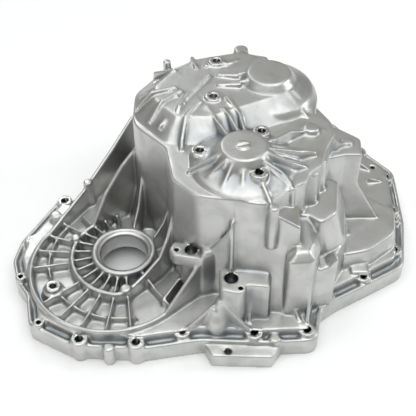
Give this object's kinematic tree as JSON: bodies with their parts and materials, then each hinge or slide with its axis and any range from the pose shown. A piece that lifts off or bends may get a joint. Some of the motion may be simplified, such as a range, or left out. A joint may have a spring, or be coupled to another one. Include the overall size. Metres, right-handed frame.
{
  "type": "transmission case",
  "caption": "Die-cast transmission case with a bolting flange, a spoked output-bore bowl and two ribbed domes; open on its mating face.",
  "frame": {"origin": "middle of the case's footprint, on its mating face", "axes": "+Z out of the mating face towards the domed top, +X along the length away from the output bore, +Y from the front lug to the rear"},
  "size_m": [0.4854, 0.417, 0.206],
  "materials": {
    "cast_aluminium": "satin as-cast skin with machined bosses"
  },
  "bodies": {
    "root": {"transmission_case": "cast_aluminium"}
  },
  "joints": []
}
